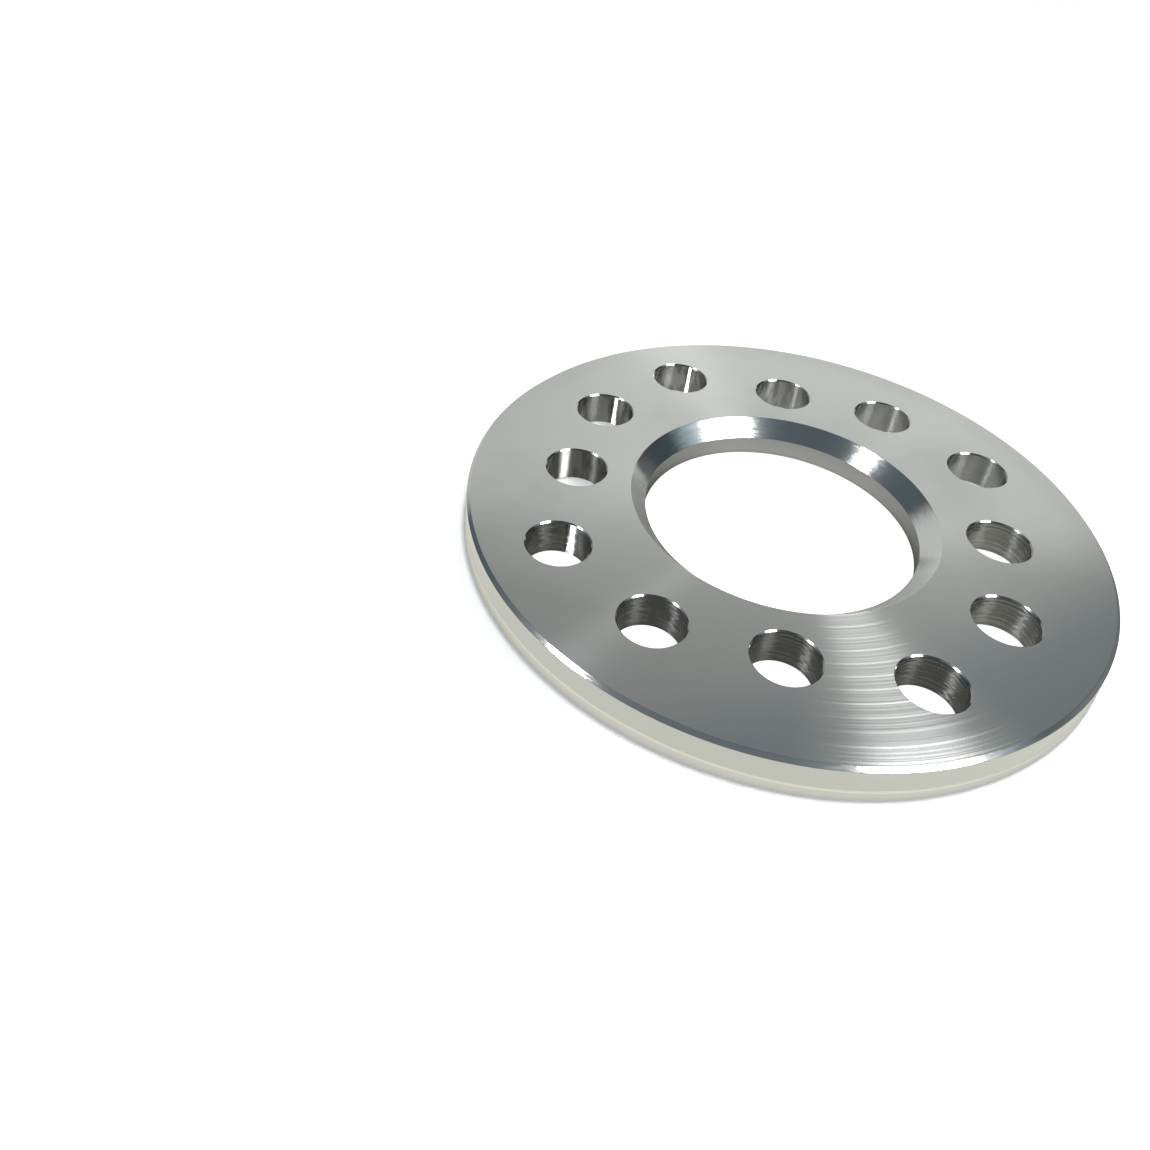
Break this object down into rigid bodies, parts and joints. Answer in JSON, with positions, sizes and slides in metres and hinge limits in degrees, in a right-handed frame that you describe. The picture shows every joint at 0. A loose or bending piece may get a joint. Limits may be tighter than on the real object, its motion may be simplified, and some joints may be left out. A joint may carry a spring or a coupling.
{
  "type": "wheel spacer",
  "caption": "Flat round wheel spacer, turned from one piece of aluminium, with a widely bevelled centre bore and a ring of stud holes for several bolt circles.",
  "frame": {"origin": "centre of the wheel face, on the bore's axis, which is the bottom centre of the box", "axes": "+Z along the bore's axis towards the hub face with the wide bevel, +Y and +X each through a stud hole of the 114.3 mm bolt circle"},
  "size_m": [0.15, 0.15, 0.009],
  "materials": {
    "machined_aluminium": "bare, finely turned, with faint round tool marks"
  },
  "bodies": {
    "root": {"spacer_plate": "machined_aluminium"}
  },
  "joints": []
}
